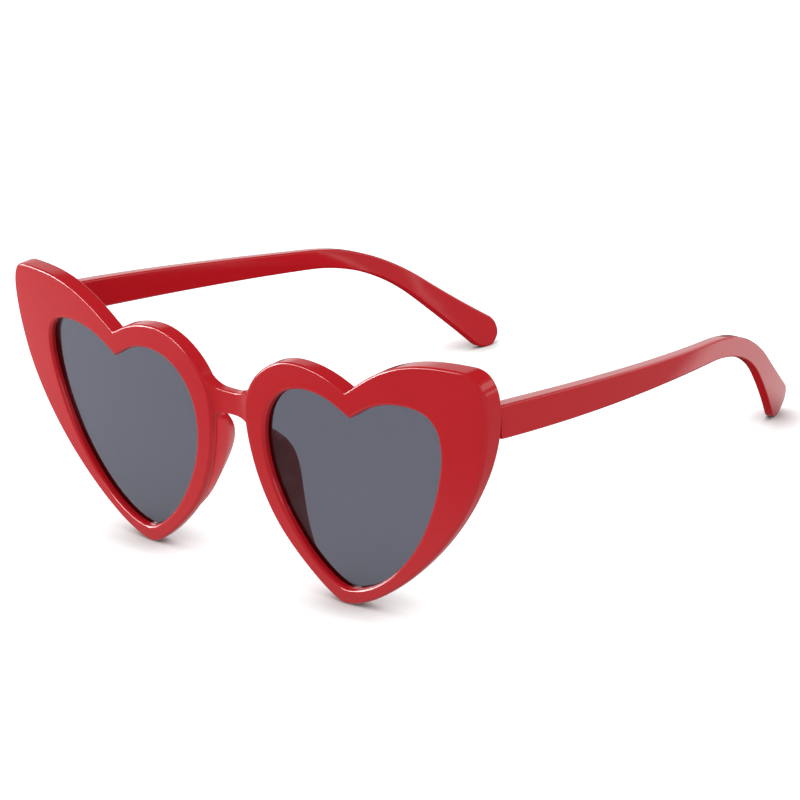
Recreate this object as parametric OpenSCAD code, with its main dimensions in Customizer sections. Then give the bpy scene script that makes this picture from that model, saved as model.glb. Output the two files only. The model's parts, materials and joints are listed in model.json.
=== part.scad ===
// Heart shaped sunglasses. One moulded front carries two tinted lenses and two bonded
// nose pads, and two temples fold inwards on metal barrel hinges.
// Millimetres. +X is to the right as the front is looked at, +Y runs from the front to
// the temple tips and +Z is up. Left and right in the names are the wearer's: left is +X.
// The glasses stand on z = 0, on the two heart tips and the two temple tips.

/* [Front] */
// Width over the two wing corners
front_w = 145; // [130:1:160]
// Height of the hearts
front_h = 60.2; // [54:0.2:66]
// Thickness of the front
front_t = 3.5; // [3.3:0.1:4.2]
// Extra thickness at the wings, where the temples meet them
wing_extra = 1.4; // [0.4:0.1:2]
// Radius of the front's bow, seen from above
bow_r = 735; // [500:5:1500]
// How far a wing sweeps back beyond the bow
wing_sweep = 0.5; // [0:0.1:1.5]
// Rounding of the outer edges that face forward
front_edge_r = 0.5; // [0.3:0.1:1]
// Extra rounding of them where they turn to the side
side_edge_r = 0.4; // [0:0.1:1]
// Rounding of the openings' edges that face forward
opening_edge_r = 0.8; // [0.3:0.1:1]
// Rounding of the edges that face back
back_edge_r = 0.4; // [0.2:0.05:0.4]
// Extra rounding of the outer back edge round the lower half of a heart
low_edge_r = 1.3; // [0.4:0.1:1.4]
// Extra rounding of the back edge at the top corner of a wing
corner_edge_r = 0.7; // [0:0.1:1.2]

/* [Bridge] */
// Height of the bridge at its middle
bridge_h = 5.6; // [4:0.1:6.5]
// Depth of the bridge's face behind the front of the rims
bridge_set = 1.1; // [0.6:0.1:1.4]
// How far its face comes forward again where it meets a rim
bridge_flare = 0.7; // [0:0.1:1]
// Rise of the bridge's top where it meets a rim
bridge_rise = 1.4; // [0.6:0.1:2]
// Drop of the bridge's underside where it meets a rim
bridge_drop = 1.8; // [0.8:0.1:2.4]

/* [Nose pads] */
// Reach of a pad behind the front
pad_reach = 7.2; // [4:0.1:9]
// Height of the pad's lower end above the heart tips
pad_low = 9; // [8:0.5:12]
// Height of the pad's upper end above the heart tips
pad_high = 37.6; // [36:0.2:38]
// Depth of the seam between the rim's side and the pad
pad_seam = 1.5; // [1.2:0.1:2]
// How far the pad stands proud of the rim's side
pad_proud = 0.3; // [0.2:0.05:0.6]
// Depth of the rebate in the rim's side that the pad is bonded into
pad_rebate = 0.8; // [0.5:0.1:1]

/* [Lenses] */
// Thickness of a lens
lens_t = 1.1; // [0.9:0.05:1.2]
// Depth of the lens behind the front of the rim
lens_set = 1.6; // [1.2:0.1:1.7]
// Depth of the groove that holds the lens
groove_d = 0.8; // [0.5:0.1:1]
// Play between the lens and the groove's sides
lens_play = 0.05; // [0.03:0.01:0.1]

/* [Temples] */
// Length of a temple along its middle line
temple_len = 143.5; // [136:0.5:150]
// Length of the straight part, up to the bend
temple_straight = 83; // [76:1:88]
// Radius of the bend over the ear
bend_r = 55; // [45:1:60]
// Angle of the bend over the ear
bend_a = 36; // [30:1:40]
// Height of the temple at the hinge
temple_hinge_h = 7.4; // [6.6:0.1:8]
// Height of the temple at its waist, over the ear
temple_waist_h = 4.7; // [4:0.1:6]
// Height of the rounded tip
temple_tip_h = 8.6; // [7:0.1:9]
// Thickness of the temple at the hinge
temple_hinge_t = 3.4; // [3:0.1:4]
// Thickness of the temple at the tip
temple_tip_t = 2.4; // [2:0.1:3]
// How far the tip comes in from the temple's outer face
temple_sweep = 25; // [18:1:30]
// Length of flat outer face behind the hinge
temple_flat = 8; // [6:1:14]
// Rounding of the temple's long edges
temple_edge_r = 0.5; // [0.3:0.1:1]
// Gap between the front and the end of the temple
temple_gap = 0.2; // [0.1:0.05:0.3]

/* [Hinges] */
// Outer radius of the knuckles
knuckle_r = 1.6; // [1.3:0.05:1.8]
// Height of the middle knuckle, on the temple's leaf
mid_knuckle_h = 2.2; // [1.8:0.1:2.6]
// Height of each outer knuckle, on the front's leaf
end_knuckle_h = 1.6; // [1.2:0.1:1.8]
// Gap between two knuckles
knuckle_gap = 0.05; // [0.03:0.01:0.1]
// Radius of the hinge screw's shank
screw_r = 0.6; // [0.5:0.05:0.7]
// Play round the shank
screw_play = 0.05; // [0.03:0.01:0.08]
// Radius of the hinge screw's head
screw_head_r = 1.15; // [0.9:0.05:1.2]
// Height of the hinge screw's head
screw_head_h = 0.6; // [0.4:0.1:0.8]
// Width of the screwdriver slot
slot_w = 0.35; // [0.25:0.05:0.45]
// Thickness of the leaves
leaf_t = 1.2; // [1:0.1:1.4]
// Width of the leaf on the front
front_leaf_w = 6; // [5:0.5:8]
// Length of the leaf on the temple
temple_leaf_len = 12; // [10:0.5:14]
// Height of the leaf on the temple
temple_leaf_h = 4; // [3:0.1:4.4]
// How far the temple's leaf stands out of its pocket
leaf_proud = 0.3; // [0.2:0.05:0.4]
// Distance from the front's leaf to the hinge axis
hinge_stand = 2.5; // [2.2:0.1:3]
// Play round a leaf in its pocket
leaf_play = 0.05; // [0.03:0.01:0.1]

/* [Hidden] */
$fn = 48;

half_w = front_w / 2;
overrun = front_t / 2;

// Each row of an outline is a point and how the curve passes it: its share of the half
// width and of the height, the heading in and out in degrees, and the reach of the
// curve's handles in and out as shares of the height. Headings turn from +X towards +Z.
rim_shares = [
    [0.418, 0.000,   0,   0, 0.058, 0.083],
    [0.761, 0.253,  45,  45, 0.250, 0.167],
    [0.975, 0.668,  75,  75, 0.150, 0.080],
    [1.000, 0.880,  91,  91, 0.065, 0.078],
    [0.930, 1.000, 178, 178, 0.056, 0.222],
    [0.495, 0.835, 217, 149, 0.230, 0.076],
    [0.300, 0.902, 180, 180, 0.092, 0.140],
    [0.070, 0.646, 270, 270, 0.130, 0.133],
    [0.181, 0.229, 307, 307, 0.158, 0.110]
];
opening_shares = [
    [0.430, 0.062,   0,   0, 0.050, 0.092],
    [0.700, 0.276,  53,  53, 0.173, 0.107],
    [0.815, 0.578,  76,  76, 0.100, 0.060],
    [0.828, 0.717,  95,  95, 0.045, 0.085],
    [0.710, 0.827, 180, 180, 0.080, 0.117],
    [0.500, 0.737, 212, 150, 0.092, 0.067],
    [0.338, 0.805, 180, 180, 0.083, 0.143],
    [0.148, 0.563, 270, 270, 0.135, 0.140],
    [0.266, 0.204, 307, 307, 0.128, 0.087]
];
rim_steps = 10;

// The lens centre that its rings of points shrink towards, as shares
lens_centre_shares = [0.49, 0.43];
lens_rings = 3;

// The bridge joins the rims at this share of the height, and ends this far inside them
bridge_z_share = 0.671;
bridge_end_share = 0.11;
bridge_foot_share = 0.082;

// Spans of the height over which the wing's extra thickness and the extra rounding of its
// top corner come in, and over which the extra rounding of the lower half fades out
wing_rise_shares = [0.5, 0.77];
corner_rise_shares = [0.88, 1];
low_fade_shares = [0.65, 0.25];
// The wing's sweep starts at this share of the half width
sweep_share = 0.6;

// Where the pad's crest lies along its height, and how full its profile is
pad_skew = 2.2;
pad_fullness = 0.5;
pad_end_share = 0.02;
// The pad's section, outside the rim: share of the rim's width, share of the reach
pad_section_shares = [
    [0.00, 0.22], [0.12, 0.45], [0.28, 0.68], [0.46, 0.87], [0.66, 0.99],
    [0.78, 0.97], [0.86, 0.78], [0.88, 0.42]
];
pad_root_share = 0.83;

hinge_z_share = 0.8013;
temple_inset_share = 0.007;
waist_share = 0.72;
tip_thin_share = 0.4;

lens_outset = groove_d - lens_play * 2;
temple_x = half_w * (1 - temple_inset_share);
temple_y = bow(half_w) + front_t + wing_extra + temple_gap;
hinge_z = front_h * hinge_z_share;
bore_r = screw_r + screw_play;
hinge_x = temple_x - temple_hinge_t - knuckle_r - leaf_proud / 2;
leaf_x = hinge_x - front_leaf_w / 2;
leaf_y = bow(leaf_x) + thickness([leaf_x, hinge_z]);
hinge_y = leaf_y + hinge_stand;
barrel_h = mid_knuckle_h + 2 * (knuckle_gap + end_knuckle_h);
leaf_gap = knuckle_r + leaf_proud;

// The temple's middle line is tilted so that its tip meets the ground
tip_r = temple_tip_h / 2;
bend_len = bend_r * bend_a * PI / 180;
tail_len = temple_len - temple_straight - bend_len;
run_y = temple_straight + bend_r * sin(bend_a) + (tail_len - tip_r) * cos(bend_a);
run_z = bend_r * (1 - cos(bend_a)) + (tail_len - tip_r) * sin(bend_a);
tilt = asin((hinge_z - tip_r) / norm([run_y, run_z])) - atan2(run_z, run_y);
depth = temple_y + path(temple_len - tip_r).x + tip_r;

function bow(x) =
    x * x / (2 * bow_r)
        + wing_sweep * pow(max(0, abs(x) / half_w - sweep_share) / (1 - sweep_share), 2);
function ramp(u) = let (t = min(1, max(0, u))) t * t * (3 - 2 * t);
// How far up a span of the front's height a point of a heart lies, from 0 to 1
function rise(p, span) = ramp((p.y / front_h - span[0]) / (span[1] - span[0]));
function thickness(p) =
    front_t + wing_extra * pow(p.x / half_w, 3) * rise(p, wing_rise_shares);
// Rounding of the outer edges: at the front by the way that the rim faces, and at the
// back by its place
function front_r(out) = front_edge_r + side_edge_r * pow(out.x, 2);
function back_r(p) =
    back_edge_r + low_edge_r * rise(p, low_fade_shares)
        + corner_edge_r * pow(p.x / half_w, 8) * rise(p, corner_rise_shares);
function heading(a) = [cos(a), sin(a)];
function bezier(p, q, r, s, t) =
    p * pow(1 - t, 3) + 3 * q * t * pow(1 - t, 2) + 3 * r * t * t * (1 - t) + s * pow(t, 3);
function knot(row) = [row[0] * half_w, row[1] * front_h];
function outline(rows) = [
    for (i = [0:len(rows) - 1])
        let (
            a = rows[i],
            b = rows[(i + 1) % len(rows)],
            q = knot(a) + heading(a[3]) * a[5] * front_h,
            r = knot(b) - heading(b[2]) * b[4] * front_h
        )
        for (k = [0:rim_steps - 1]) bezier(knot(a), q, r, knot(b), k / rim_steps)
];
function normals(c) = [
    for (i = [0:len(c) - 1])
        let (d = c[(i + 1) % len(c)] - c[(i + len(c) - 1) % len(c)])
        [d.y, -d.x] / norm(d)
];

rim = outline(rim_shares);
rim_out = normals(rim);
opening = outline(opening_shares);
opening_out = normals(opening);

// A point of the front, by its place in the heart's plane and its depth behind the bow
function on_bow(p, d) = [p.x, bow(p.x) + d, p.y];

function rim_section(i) = let (near_r = front_r(rim_out[i]), far_r = back_r(rim[i])) concat(
    [for (a = [90:-30:0])
        on_bow(rim[i] - rim_out[i] * near_r * (1 - cos(a)), near_r * (1 - sin(a)))],
    [for (a = [0:30:90])
        on_bow(rim[i] - rim_out[i] * far_r * (1 - cos(a)),
               thickness(rim[i]) - far_r * (1 - sin(a)))],
    [for (a = [90:-45:0])
        on_bow(opening[i] + opening_out[i] * back_edge_r * (1 - cos(a)),
               thickness(opening[i]) - back_edge_r * (1 - sin(a)))],
    [
        on_bow(opening[i], lens_set + lens_t + lens_play),
        on_bow(opening[i] + opening_out[i] * groove_d, lens_set + lens_t + lens_play),
        on_bow(opening[i] + opening_out[i] * groove_d, lens_set - lens_play),
        on_bow(opening[i], lens_set - lens_play)
    ],
    [for (a = [0:30:90])
        on_bow(opening[i] + opening_out[i] * opening_edge_r * (1 - cos(a)),
               opening_edge_r * (1 - sin(a)))]
);

// Triangles between the sections of a closed ring, or of a bar with two flat ends
function skin(n, m, closed) = [
    for (i = [0:n - (closed ? 1 : 2)], j = [0:m - 1])
        let (a = i * m, b = ((i + 1) % n) * m, k = (j + 1) % m)
        each [[a + j, b + k, a + k], [a + j, b + j, b + k]]
];
function ends(n, m) = [
    for (j = [1:m - 2]) each [[0, j, j + 1], [(n - 1) * m, (n - 1) * m + j + 1, (n - 1) * m + j]]
];

module ring(sections) {
    polyhedron([for (s = sections) each s], skin(len(sections), len(sections[0]), true));
}

module bar(sections) {
    n = len(sections);
    m = len(sections[0]);
    polyhedron([for (s = sections) each s], concat(skin(n, m, false), ends(n, m)));
}

module on_side(side) {
    if (side < 0) mirror([1, 0, 0]) children();
    else children();
}

module heart_rim() {
    ring([for (i = [0:len(rim) - 1]) rim_section(i)]);
}

// A rounded rectangle, from corner a to corner b, as points around its middle
function rounded(a, b, r) = [
    for (q = [0:3], k = [0:2])
        let (
            x = q == 0 || q == 3 ? b.x - r : a.x + r,
            y = q < 2 ? b.y - r : a.y + r
        )
        [x, y] + heading(q * 90 + k * 45) * r
];

module bridge() {
    span = half_w * bridge_end_share;
    foot = half_w * bridge_foot_share;
    middle = front_h * bridge_z_share;
    bar([
        for (k = [-8:8])
            let (
                x = span * k / 8,
                u = abs(x) / foot,
                low = middle - bridge_h / 2 - bridge_drop * pow(u, 3),
                high = middle + bridge_h / 2 + bridge_rise * pow(u, 3),
                near = bridge_set - bridge_flare * min(1, pow(u, 3))
            )
            [
                for (p = rounded([near, low], [front_t - back_edge_r / 3, high],
                                 front_edge_r * 0.9))
                    on_bow([x, p.y], p.x)
            ]
    ]);
}

module front_frame() color("crimson") difference() {
    union() {
        heart_rim();
        on_side(-1) heart_rim();
        bridge();
    }
    for (side = [-1, 1]) on_side(side) {
        pad_body();
        translate([leaf_x - leaf_play, leaf_y - leaf_t - leaf_play, hinge_z - barrel_h / 2 - leaf_play])
            cube([front_leaf_w + 2 * leaf_play, leaf_t + overrun, barrel_h + 2 * leaf_play]);
    }
}

// Rings of points shrink from the lens's edge to its centre, first on its back, then on
// its front
module lens(side) color("dimgray", 0.6) on_side(side) {
    n = len(opening);
    centre = [lens_centre_shares.x * half_w, lens_centre_shares.y * front_h];
    rings = [
        for (k = [1 - lens_rings:lens_rings])
            let (share = min(1, (lens_rings + (k > 0 ? 1 - k : k)) / lens_rings))
            [
                for (i = [0:n - 1])
                    on_bow(centre + (opening[i] + opening_out[i] * lens_outset - centre) * share,
                           k > 0 ? lens_set : lens_set + lens_t)
            ]
    ];
    last = (len(rings) - 1) * n;
    middle = len(rings) * n;
    polyhedron(
        concat(
            [for (r = rings) each r],
            [on_bow(centre, lens_set + lens_t), on_bow(centre, lens_set)]
        ),
        concat(
            skin(len(rings), n, false),
            [
                for (i = [0:n - 1])
                    let (k = (i + 1) % n)
                    each [[middle, i, k], [middle + 1, last + k, last + i]]
            ]
        )
    );
}

// Reach of the pad at a height, as a share of its full reach
function pad_swell(z) =
    let (u = (z - pad_low) / (pad_high - pad_low))
    u <= pad_end_share || u >= 1 - pad_end_share ? 0
        : pow(sin(180 * pow(u, pad_skew)), pad_fullness);

// The pad is bonded into a rebate of the rim, and sinks into the rim towards its ends
module pad_body() {
    rows = [for (i = [7 * rim_steps:len(rim) - 1]) if (pad_swell(rim[i].y) > 0) i];
    bar([
        for (i = rows)
            let (
                swell = pad_swell(rim[i].y),
                across = opening[i] - rim[i],
                sunk = pow(1 - swell, 3),
                proud = pad_proud * swell - pad_rebate * sunk,
                root = front_t - back_edge_r
            )
            concat(
                [on_bow(rim[i] + rim_out[i] * proud, pad_seam)],
                [
                    for (s = pad_section_shares)
                        on_bow(rim[i] + across * s[0] + rim_out[i] * proud * (1 - s[0]),
                               front_t - back_edge_r * sunk + s[1] * pad_reach * swell)
                ],
                [
                    on_bow(rim[i] + across * pad_root_share, root),
                    on_bow(rim[i] - rim_out[i] * pad_rebate, root),
                    on_bow(rim[i] - rim_out[i] * pad_rebate, pad_seam)
                ]
            )
    ]);
}

module nose_pad(side) color("firebrick") on_side(side) pad_body();

// Heading and place of the temple's middle line at a length along it
function path_a(s) = tilt + bend_a * min(1, max(0, (s - temple_straight) / bend_len));
function path(s) =
    let (
        a = path_a(s),
        straight = min(s, temple_straight),
        tail = max(0, s - temple_straight - bend_len)
    )
    [
        straight * cos(tilt) + bend_r * (sin(a) - sin(tilt)) + tail * cos(a),
        -straight * sin(tilt) - bend_r * (cos(tilt) - cos(a)) - tail * sin(a)
    ];
function temple_out(s) =
    temple_x - temple_sweep * pow(max(0, s - temple_flat) / (temple_len - temple_flat), 2);
function temple_t(s) =
    temple_hinge_t + (temple_tip_t - temple_hinge_t) * max(0, s - temple_flat) / (temple_len - temple_flat);
function temple_half(s) =
    let (
        waist = temple_len * waist_share,
        u = min(1, max(0, s / waist)),
        v = max(0, (s - waist) / (temple_len - tip_r - waist))
    )
    (temple_hinge_h + (temple_waist_h - temple_hinge_h) * (1 - cos(180 * u)) / 2
        + (temple_tip_h - temple_waist_h) * v * v) / 2;

// A section of the temple: its place along the line, half height and thickness
function temple_section(s, half, thick) =
    let (
        c = path(s),
        a = path_a(s),
        out = temple_out(s) - (temple_t(s) - thick) / 2,
        r = min(temple_edge_r, half * 0.8, thick * 0.4)
    )
    [
        for (p = rounded([-half, out - thick], [half, out], r))
            [p.y, temple_y + c.x + p.x * sin(a), hinge_z + c.y + p.x * cos(a)]
    ];

module temple(side) color("crimson") on_side(side) difference() {
    body_len = temple_len - tip_r;
    bar(concat(
        [for (k = [0:30]) let (s = body_len * k / 30 - overrun * (1 - k / 30))
            temple_section(s, temple_half(s), temple_t(s))],
        [for (a = [18:16:82])
            temple_section(body_len + tip_r * sin(a), tip_r * cos(a),
                           temple_tip_t * (1 - tip_thin_share * (1 - cos(a))))]
    ));
    translate([temple_x - temple_hinge_t * 2, temple_y - 2 * overrun, hinge_z - temple_hinge_h])
        cube([temple_hinge_t * 3, 2 * overrun, 2 * temple_hinge_h]);
    temple_leaf_plate(leaf_play, overrun);
}

// The leaf's plate lies along the temple, sunk into its inner face
module temple_leaf_plate(play, proud) {
    translate([temple_x - temple_hinge_t, hinge_y, hinge_z - (hinge_y - temple_y) * tan(tilt)])
        rotate([-tilt, 0, 0])
        translate([-proud, leaf_gap - play, -temple_leaf_h / 2 - play])
        cube([
            leaf_t - leaf_proud + play + proud,
            temple_leaf_len - leaf_gap + 2 * play,
            temple_leaf_h + 2 * play
        ]);
}

module knuckle(z, h) {
    translate([hinge_x, hinge_y, z]) cylinder(h = h, r = knuckle_r);
}

module hinge_bore() {
    translate([hinge_x, hinge_y, hinge_z - barrel_h]) cylinder(h = 2 * barrel_h, r = bore_r);
}

module hinge_front(side) color("silver") on_side(side) difference() {
    union() {
        translate([leaf_x, leaf_y - leaf_t, hinge_z - barrel_h / 2])
            cube([front_leaf_w, leaf_t, barrel_h]);
        for (z = [hinge_z - barrel_h / 2, hinge_z + barrel_h / 2 - end_knuckle_h]) {
            knuckle(z, end_knuckle_h);
            translate([hinge_x - knuckle_r, leaf_y - leaf_t / 2, z])
                cube([2 * knuckle_r, hinge_y - leaf_y + leaf_t / 2, end_knuckle_h]);
        }
    }
    hinge_bore();
}

module hinge_temple(side) color("silver") on_side(side) difference() {
    union() {
        temple_leaf_plate(0, leaf_proud);
        knuckle(hinge_z - mid_knuckle_h / 2, mid_knuckle_h);
        translate([hinge_x, hinge_y, hinge_z - mid_knuckle_h / 2])
            cube([
                temple_x - temple_hinge_t - leaf_play - hinge_x,
                leaf_gap + leaf_t,
                mid_knuckle_h
            ]);
    }
    hinge_bore();
}

module hinge_screw(side) color("gainsboro") on_side(side) {
    top = hinge_z + barrel_h / 2;
    difference() {
        union() {
            translate([hinge_x, hinge_y, hinge_z - barrel_h / 2]) cylinder(h = barrel_h, r = screw_r);
            translate([hinge_x, hinge_y, top]) cylinder(h = screw_head_h, r = screw_head_r);
        }
        translate([hinge_x - 2 * screw_head_r, hinge_y - slot_w / 2, top + screw_head_h / 2])
            cube([4 * screw_head_r, slot_w, screw_head_h]);
    }
}

// Puts the origin on the ground, below the middle of the whole
module placed() {
    translate([0, -depth / 2, 0]) children();
}

placed() front_frame();
placed() lens(1);  // lens_left
placed() lens(-1);  // lens_right
placed() nose_pad(1);  // nose_pad_left
placed() nose_pad(-1);  // nose_pad_right
placed() temple(1);  // temple_left
placed() temple(-1);  // temple_right
placed() hinge_front(1);  // hinge_front_left
placed() hinge_front(-1);  // hinge_front_right
placed() hinge_temple(1);  // hinge_temple_left
placed() hinge_temple(-1);  // hinge_temple_right
placed() hinge_screw(1);  // hinge_screw_left
placed() hinge_screw(-1);  // hinge_screw_right
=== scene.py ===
"""Heart shaped sunglasses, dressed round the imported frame.

A glossy moulded front with two heart rims, smoke lenses, bonded nose pads, two temples
that bend over the ear, and steel barrel hinges. Metres, in the frame's own axes: +X is the
wearer's left, +Y runs back along the temples and +Z is up.
"""

import json
import math

import bmesh
import bpy
import numpy as np
from mathutils import Matrix, Vector


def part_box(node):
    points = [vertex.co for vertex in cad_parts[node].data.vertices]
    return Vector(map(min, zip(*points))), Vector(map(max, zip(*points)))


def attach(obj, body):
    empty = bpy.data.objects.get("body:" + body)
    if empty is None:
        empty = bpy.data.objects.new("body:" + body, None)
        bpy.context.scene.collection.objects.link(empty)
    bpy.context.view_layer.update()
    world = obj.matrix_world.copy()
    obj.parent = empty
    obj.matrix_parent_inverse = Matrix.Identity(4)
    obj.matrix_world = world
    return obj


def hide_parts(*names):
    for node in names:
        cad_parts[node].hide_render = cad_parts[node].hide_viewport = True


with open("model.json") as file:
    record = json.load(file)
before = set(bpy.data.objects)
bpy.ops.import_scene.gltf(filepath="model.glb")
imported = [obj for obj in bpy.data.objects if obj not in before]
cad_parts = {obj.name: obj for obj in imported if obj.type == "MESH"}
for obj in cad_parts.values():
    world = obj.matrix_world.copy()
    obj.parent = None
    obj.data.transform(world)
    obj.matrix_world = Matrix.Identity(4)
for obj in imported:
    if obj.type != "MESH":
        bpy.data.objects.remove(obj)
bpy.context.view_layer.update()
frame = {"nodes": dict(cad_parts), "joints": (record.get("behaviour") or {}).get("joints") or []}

bl_info = {
    "name": "Heart Shaped Sunglasses",
    "version": (1, 0, 0),
    "blender": (4, 5, 0),
    "location": "View3D > Sidebar > Sunglasses",
    "description": "Builds the looks of the heart shaped sunglasses round the packed frame",
    "category": "Object",
}

MM = 0.001

ARM_BODY = {"left": "left_arm", "right": "right_arm"}

front_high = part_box("front_frame")[1]
hinge_low, hinge_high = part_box("hinge_front_left")
joint = next(j for j in frame["joints"] if j["name"] == "temple_left_fold")
HINGE = Vector(joint["pos_m"])

# Each row of an outline is a point and how the curve passes it: its share of the half
# width and of the height, the heading in and out in degrees, and the reach of the
# curve's handles in and out as shares of the height.
RIM = [
    (0.418, 0.000, 0, 0, 0.058, 0.083),
    (0.761, 0.253, 45, 45, 0.250, 0.167),
    (0.975, 0.668, 75, 75, 0.150, 0.080),
    (1.000, 0.880, 91, 91, 0.065, 0.078),
    (0.930, 1.000, 178, 178, 0.056, 0.222),
    (0.495, 0.835, 217, 149, 0.230, 0.076),
    (0.300, 0.902, 180, 180, 0.092, 0.140),
    (0.070, 0.646, 270, 270, 0.130, 0.133),
    (0.181, 0.229, 307, 307, 0.158, 0.110),
]
OPENING = [
    (0.430, 0.062, 0, 0, 0.050, 0.092),
    (0.700, 0.276, 53, 53, 0.173, 0.107),
    (0.815, 0.578, 76, 76, 0.100, 0.060),
    (0.828, 0.717, 95, 95, 0.045, 0.085),
    (0.710, 0.827, 180, 180, 0.080, 0.117),
    (0.500, 0.737, 212, 150, 0.092, 0.067),
    (0.338, 0.805, 180, 180, 0.083, 0.143),
    (0.148, 0.563, 270, 270, 0.135, 0.140),
    (0.266, 0.204, 307, 307, 0.128, 0.087),
]
# The pad's section, outside the rim: share of the rim's width, share of the reach
PAD_SECTION = [
    (0.00, 0.22), (0.12, 0.45), (0.28, 0.68), (0.46, 0.87), (0.66, 0.99),
    (0.78, 0.97), (0.86, 0.78), (0.88, 0.42),
]
# How often its corners are cut, and the share of a side that each cut takes
PAD_CUTS = 2
PAD_CUT = 0.25

# Points between two rows of an outline, and steps round the quarter turn of an edge and
# of the pad's leading edge
STEPS = 24
TURN_STEPS = 8
PAD_TURN_STEPS = 4
# Where a rim's loops cross its flat faces, as shares, and the rings of a lens's face
FACE_SHARES = (0.2, 0.4, 0.6, 0.8)
LENS_RINGS = 10

# Shares of the height over which the wings thicken, the low rounding fades out and the
# wing's top corner comes in, and the powers that gather both at the wing's side
WING_RISE = (0.5, 0.77)
LOW_FADE = (0.65, 0.25)
CORNER_RISE = (0.88, 1)
WING_POWER = 3
CORNER_POWER = 8
# Share of the half width where a wing starts to sweep back
SWEEP_START = 0.6
# How the bridge's flare and height gather at its ends
FLARE_POWER = 3

# Row of the rim where the nasal side starts, and the shape of a pad's reach along it: an
# arch's lean and fullness, how its ends sink in, and where it starts and ends
NASAL_ROW = 7
PAD_SKEW = 2.2
PAD_FULLNESS = 0.5
PAD_SINK_POWER = 3
PAD_ENDS = (0.005, 0.995)
# Share of the rim's width where the pad's root ends
PAD_ROOT = 0.83

# Sizes and steps that the temple's tree takes as inputs
TEMPLE_SIZES = (
    "Length", "Straight", "Bend Radius", "Bend Angle", "Hinge Height", "Waist Height",
    "Tip Height", "Waist", "Hinge Thickness", "Tip Thickness", "Sweep", "Flat", "Edge",
    "End Edge",
)
TEMPLE_STEPS = {"End Steps": 5, "Body Steps": 90, "Tip Steps": 20, "Corner Steps": 7}
# The most that a corner takes of its section's half height and thickness, how much of
# the tip's rounding thins it, and the share of the hinge's height before it leans fully
CORNER_SHARES = (0.98, 0.45)
TIP_THINNING = 0.8
LEAN_SHARE = 0.5

# How the metal's edges are found and rounded
METAL_MERGE = 1e-6
FLAT_ANGLE = math.radians(2)
EDGE_ANGLE = math.radians(40)
BEVEL_SEGMENTS = 3

# Middle of the lens's rings, as shares of the half width and of the height
LENS_CENTRE = (0.49, 0.43)

# The stage, in metres. Its left and right are the photograph's, so left is towards -X
FLOOR_HALF = 8
AIM = (0, -0.05, 0.02)
KEY_PLACE = (-0.55, -0.35, 0.15)
KEY_SIZE = (0.3, 0.3)
STRIP_PLACE = (-0.47, -0.61, 0.17)
STRIP_SIZE = (0.5, 0.15)
# How near a contact the floor's painted contact shadow reaches, and how steeply its glow fades
# there into painted shade
CONTACT = 0.012
CONTACT_POWER = 3
# Where the floor's reflection changes: in front and near, at the left, the band in front,
# far behind, at the right, and behind the tip of the temple on the right
MIRROR_NEAR = (-0.16, -0.08)
MIRROR_LEFT = (-0.2, -0.03)
MIRROR_FRONT = (-0.3, -0.2, -0.01, 0.02)
MIRROR_FAR = (0.2, 0.5)
MIRROR_RIGHT = (0.055, 0.095)
MIRROR_BACK = (0.06, 0.08)
MIRROR_TIP = (0.035, 0.045, 0.085, 0.1)
# Where the studio's reflection changes, as parts of a direction: the walls' top, the left
# wall's foot, the right wall's window band and its front end, and from left to right
WALL_TOP = (0.45, 0.6)
WALL_FOOT = (0.18, 0.3)
WALL_WINDOW = (0.1, 0.16, 0.36, 0.44)
WALL_BACK = (-0.6, -0.3)
WALL_TURN = (-0.45, -0.15)
# The camera's place, how it is turned in degrees, and its lens in millimetres
CAMERA_PLACE = (0.45977, -0.49442, 0.28425)
CAMERA_AZIMUTH = 43.841
CAMERA_ELEVATION = 21.520
CAMERA_ROLL = -4.745
CAMERA_LENS = 137.98
CAMERA_SENSOR = 36
CAMERA_CLIP = (0.01, 100)
WHITE = (1, 1, 1, 1)


def length(name, value, description):
    return bpy.props.FloatProperty(
        name=name, description=description, default=value * MM, unit="LENGTH", precision=5
    )


def share(name, value, description):
    return bpy.props.FloatProperty(
        name=name, description=description, default=value, min=0, max=1, subtype="FACTOR"
    )


def colour(name, value, description):
    return bpy.props.FloatVectorProperty(
        name=name, description=description, default=value, size=3, min=0, max=1, subtype="COLOR"
    )


def strength(name, value, description):
    return bpy.props.FloatProperty(name=name, description=description, default=value, min=0)


class FrontSizes(bpy.types.PropertyGroup):
    height: length("Height", 60.2, "Height of the hearts")
    thickness: length("Thickness", 3.5, "Thickness of the front")
    wing_extra: length("Wing Extra", 1.4, "Extra thickness at the wings")
    bow_radius: length("Bow Radius", 735, "Radius of the front's bow, seen from above")
    wing_sweep: length("Wing Sweep", 0.5, "How far a wing sweeps back beyond the bow")
    front_edge: length("Front Edge", 0.5, "Rounding of the outer edges that face forward")
    side_edge: length("Side Edge", 0.4, "Extra rounding of them where they turn to the side")
    opening_edge: length("Opening Edge", 0.8, "Rounding of the openings' front edges")
    back_edge: length("Back Edge", 0.4, "Rounding of the edges that face back")
    low_edge: length("Low Edge", 1.3, "Extra rounding of the outer back edge, low on a heart")
    corner_edge: length("Corner Edge", 0.7, "Extra rounding of the wing's top back corner")
    bridge_height: length("Bridge Height", 5.6, "Height of the bridge at its middle")
    bridge_set: length("Bridge Set", 1.1, "Depth of the bridge's face behind the rims")
    bridge_flare: length("Bridge Flare", 0.7, "How far its face comes forward at a rim")
    bridge_rise: length("Bridge Rise", 1.4, "Rise of the bridge's top where it meets a rim")
    bridge_drop: length("Bridge Drop", 1.8, "Drop of its underside where it meets a rim")
    bridge_level: share("Bridge Level", 0.671, "Height of the bridge's middle line")
    bridge_edge: share("Bridge Edge", 0.9, "Rounding of its edges, against the front edge's")
    bridge_back: share("Bridge Back", 1 / 3, "Its back's place in the back edge's rounding")
    bridge_end: share("Bridge End", 0.11, "Where the bridge ends inside the rims")
    bridge_foot: share("Bridge Foot", 0.082, "Where the bridge's flare is measured")


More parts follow.
